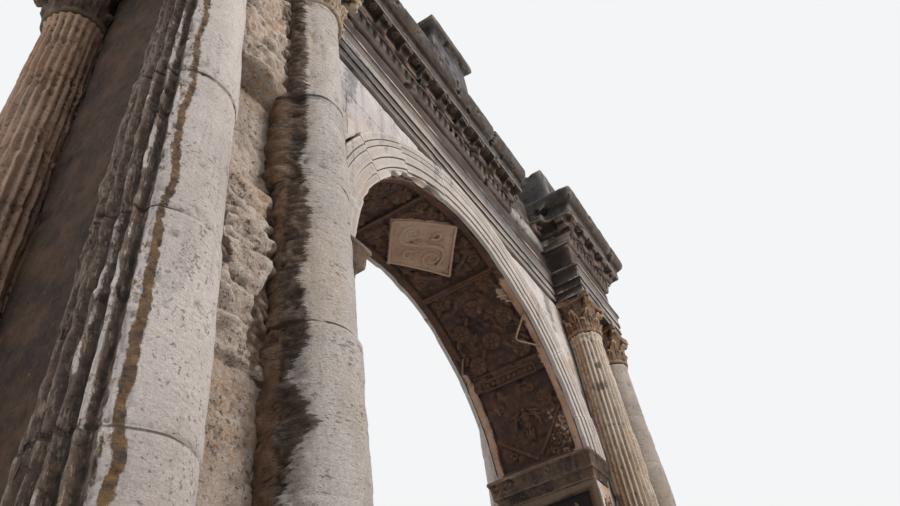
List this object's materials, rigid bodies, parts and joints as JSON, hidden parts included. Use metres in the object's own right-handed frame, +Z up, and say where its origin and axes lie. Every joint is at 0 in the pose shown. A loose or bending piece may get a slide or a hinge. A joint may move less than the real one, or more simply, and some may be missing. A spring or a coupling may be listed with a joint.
{
  "type": "triumphal arch",
  "caption": "Single-bay Roman triumphal arch of weathered limestone, with paired attached columns, broken-forward entablature, coffered vault and attic blocks.",
  "frame": {"origin": "centre of the footprint on the ground, under the middle of the passage", "axes": "+Z up, the passage runs along Y, the pictured face looks towards -Y, and X runs across the face"},
  "size_m": [9.268, 2.88, 10.349],
  "materials": {
    "carved_stone": "weathered",
    "column_stone": "weathered",
    "cornice_stone": "weathered",
    "foot_stone": "weathered",
    "pale_stone": "weathered",
    "rusted_iron": "weathered",
    "soffit_stone": "weathered"
  },
  "bodies": {
    "root": {"arch_ring": "soffit_stone", "architrave": "pale_stone", "archivolt_back": "pale_stone", "archivolt_front": "pale_stone", "attic_block_left": "cornice_stone", "attic_block_middle": "cornice_stone", "attic_block_right": "cornice_stone", "attic_course": "cornice_stone", "capitals_back_left": "carved_stone", "capitals_back_right": "carved_stone", "capitals_front_left": "carved_stone", "capitals_front_right": "carved_stone", "column_bases_back_left": "column_stone", "column_bases_back_right": "column_stone", "column_bases_front_left": "column_stone", "column_bases_front_right": "column_stone", "corner_shaft_back_left": "column_stone", "corner_shaft_back_right": "column_stone", "corner_shaft_front_left": "column_stone", "corner_shaft_front_right": "column_stone", "cornice_back": "cornice_stone", "cornice_front": "cornice_stone", "cornice_left": "cornice_stone", "cornice_right": "cornice_stone", "dentil_course": "cornice_stone", "frieze": "pale_stone", "impost_left": "cornice_stone", "impost_right": "cornice_stone", "inner_shaft_back_left": "column_stone", "inner_shaft_back_right": "column_stone", "inner_shaft_front_left": "column_stone", "inner_shaft_front_right": "column_stone", "iron_rods": "rusted_iron", "jamb_panel_left": "carved_stone", "jamb_panel_right": "carved_stone", "pedestal_cap_left": "foot_stone", "pedestal_cap_right": "foot_stone", "pedestal_left": "foot_stone", "pedestal_right": "foot_stone", "plinth_left": "foot_stone", "plinth_right": "foot_stone", "wall_left": "pale_stone", "wall_right": "pale_stone"}
  },
  "joints": []
}
